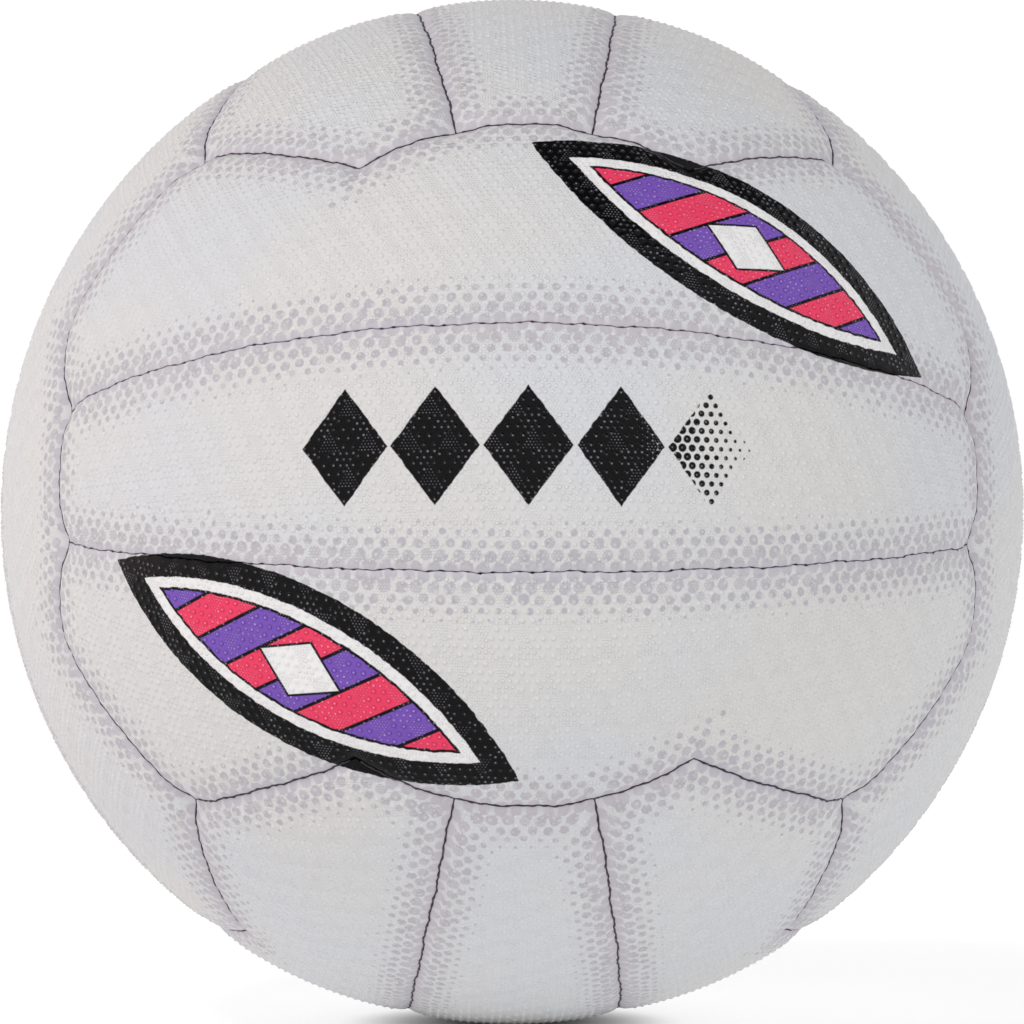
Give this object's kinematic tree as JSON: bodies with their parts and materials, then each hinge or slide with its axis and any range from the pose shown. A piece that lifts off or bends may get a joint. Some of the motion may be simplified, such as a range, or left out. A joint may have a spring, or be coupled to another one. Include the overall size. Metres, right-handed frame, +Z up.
{
  "type": "netball",
  "caption": "Round hand-stitched sports ball with a textured panelled rubber cover, laminated linings, an inner bladder and a needle valve.",
  "frame": {"origin": "centre of the inflated ball", "axes": "+Z up through the middle of the top panels, -Y through the middle of the front panels, +Y out of the needle valve"},
  "size_m": [0.223, 0.223, 0.223],
  "materials": {
    "cover": "pimpled matt",
    "lining": "woven",
    "thread": "waxed",
    "bladder": "smooth",
    "patch": "matt",
    "valve": "satin",
    "core": "smooth"
  },
  "bodies": {
    "root": {"front_upper_panel": "cover", "front_middle_panel": "cover", "front_lower_panel": "cover", "back_upper_panel": "cover", "back_middle_panel": "cover", "back_lower_panel": "cover", "top_left_panel": "cover", "top_middle_panel": "cover", "top_right_panel": "cover", "bottom_left_panel": "cover", "bottom_middle_panel": "cover", "bottom_right_panel": "cover", "left_front_panel": "cover", "left_middle_panel": "cover", "left_rear_panel": "cover", "right_front_panel": "cover", "right_middle_panel": "cover", "right_rear_panel": "cover", "front_upper_lining": "lining", "front_middle_lining": "lining", "front_lower_lining": "lining", "back_upper_lining": "lining", "back_middle_lining": "lining", "back_lower_lining": "lining", "top_left_lining": "lining", "top_middle_lining": "lining", "top_right_lining": "lining", "bottom_left_lining": "lining", "bottom_middle_lining": "lining", "bottom_right_lining": "lining", "left_front_lining": "lining", "left_middle_lining": "lining", "left_rear_lining": "lining", "right_front_lining": "lining", "right_middle_lining": "lining", "right_rear_lining": "lining", "front_upper_thread": "thread", "front_lower_thread": "thread", "back_upper_thread": "thread", "back_lower_thread": "thread", "top_left_thread": "thread", "top_right_thread": "thread", "bottom_left_thread": "thread", "bottom_right_thread": "thread", "left_front_thread": "thread", "left_rear_thread": "thread", "right_front_thread": "thread", "right_rear_thread": "thread", "bladder": "bladder", "valve_patch": "patch", "valve_body": "valve", "valve_core": "core"}
  },
  "joints": []
}
